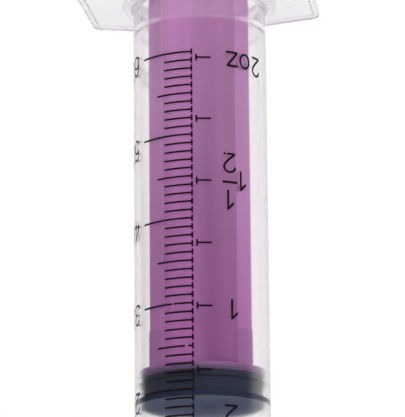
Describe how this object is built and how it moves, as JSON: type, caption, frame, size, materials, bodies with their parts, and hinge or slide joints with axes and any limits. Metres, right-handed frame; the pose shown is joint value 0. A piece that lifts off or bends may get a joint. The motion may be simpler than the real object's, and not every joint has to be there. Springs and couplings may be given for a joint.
{
  "type": "enteral syringe",
  "caption": "Clear graduated syringe barrel with a finger flange and a threaded nozzle socket, round a purple ribbed plunger rod with a dark rubber stopper.",
  "frame": {"origin": "on the axis, in the plane that the plunger's thumb rest stands on", "axes": "+Z along the axis towards the nozzle, X along the finger flange's long side"},
  "size_m": [0.05, 0.0354, 0.1925],
  "materials": {
    "clear_polypropylene": "clear, slightly milky",
    "purple_plastic": "satin moulded",
    "dark_rubber": "satin",
    "black_print": "ink"
  },
  "bodies": {
    "plunger": {"plunger": "purple_plastic"},
    "stopper": {"stopper": "dark_rubber"},
    "barrel": {"barrel": "clear_polypropylene"}
  },
  "joints": [
    {"name": "plunger_turn", "type": "hinge", "parent": "plunger", "child": "stopper", "pos_m": [0, 0, 0.133], "axis": [0, 0, 1], "continuous": true},
    {"name": "plunger_slide", "type": "slide", "parent": "stopper", "child": "barrel", "axis": [0, 0, 1], "range_m": [-0.0349, 0.0737]}
  ]
}
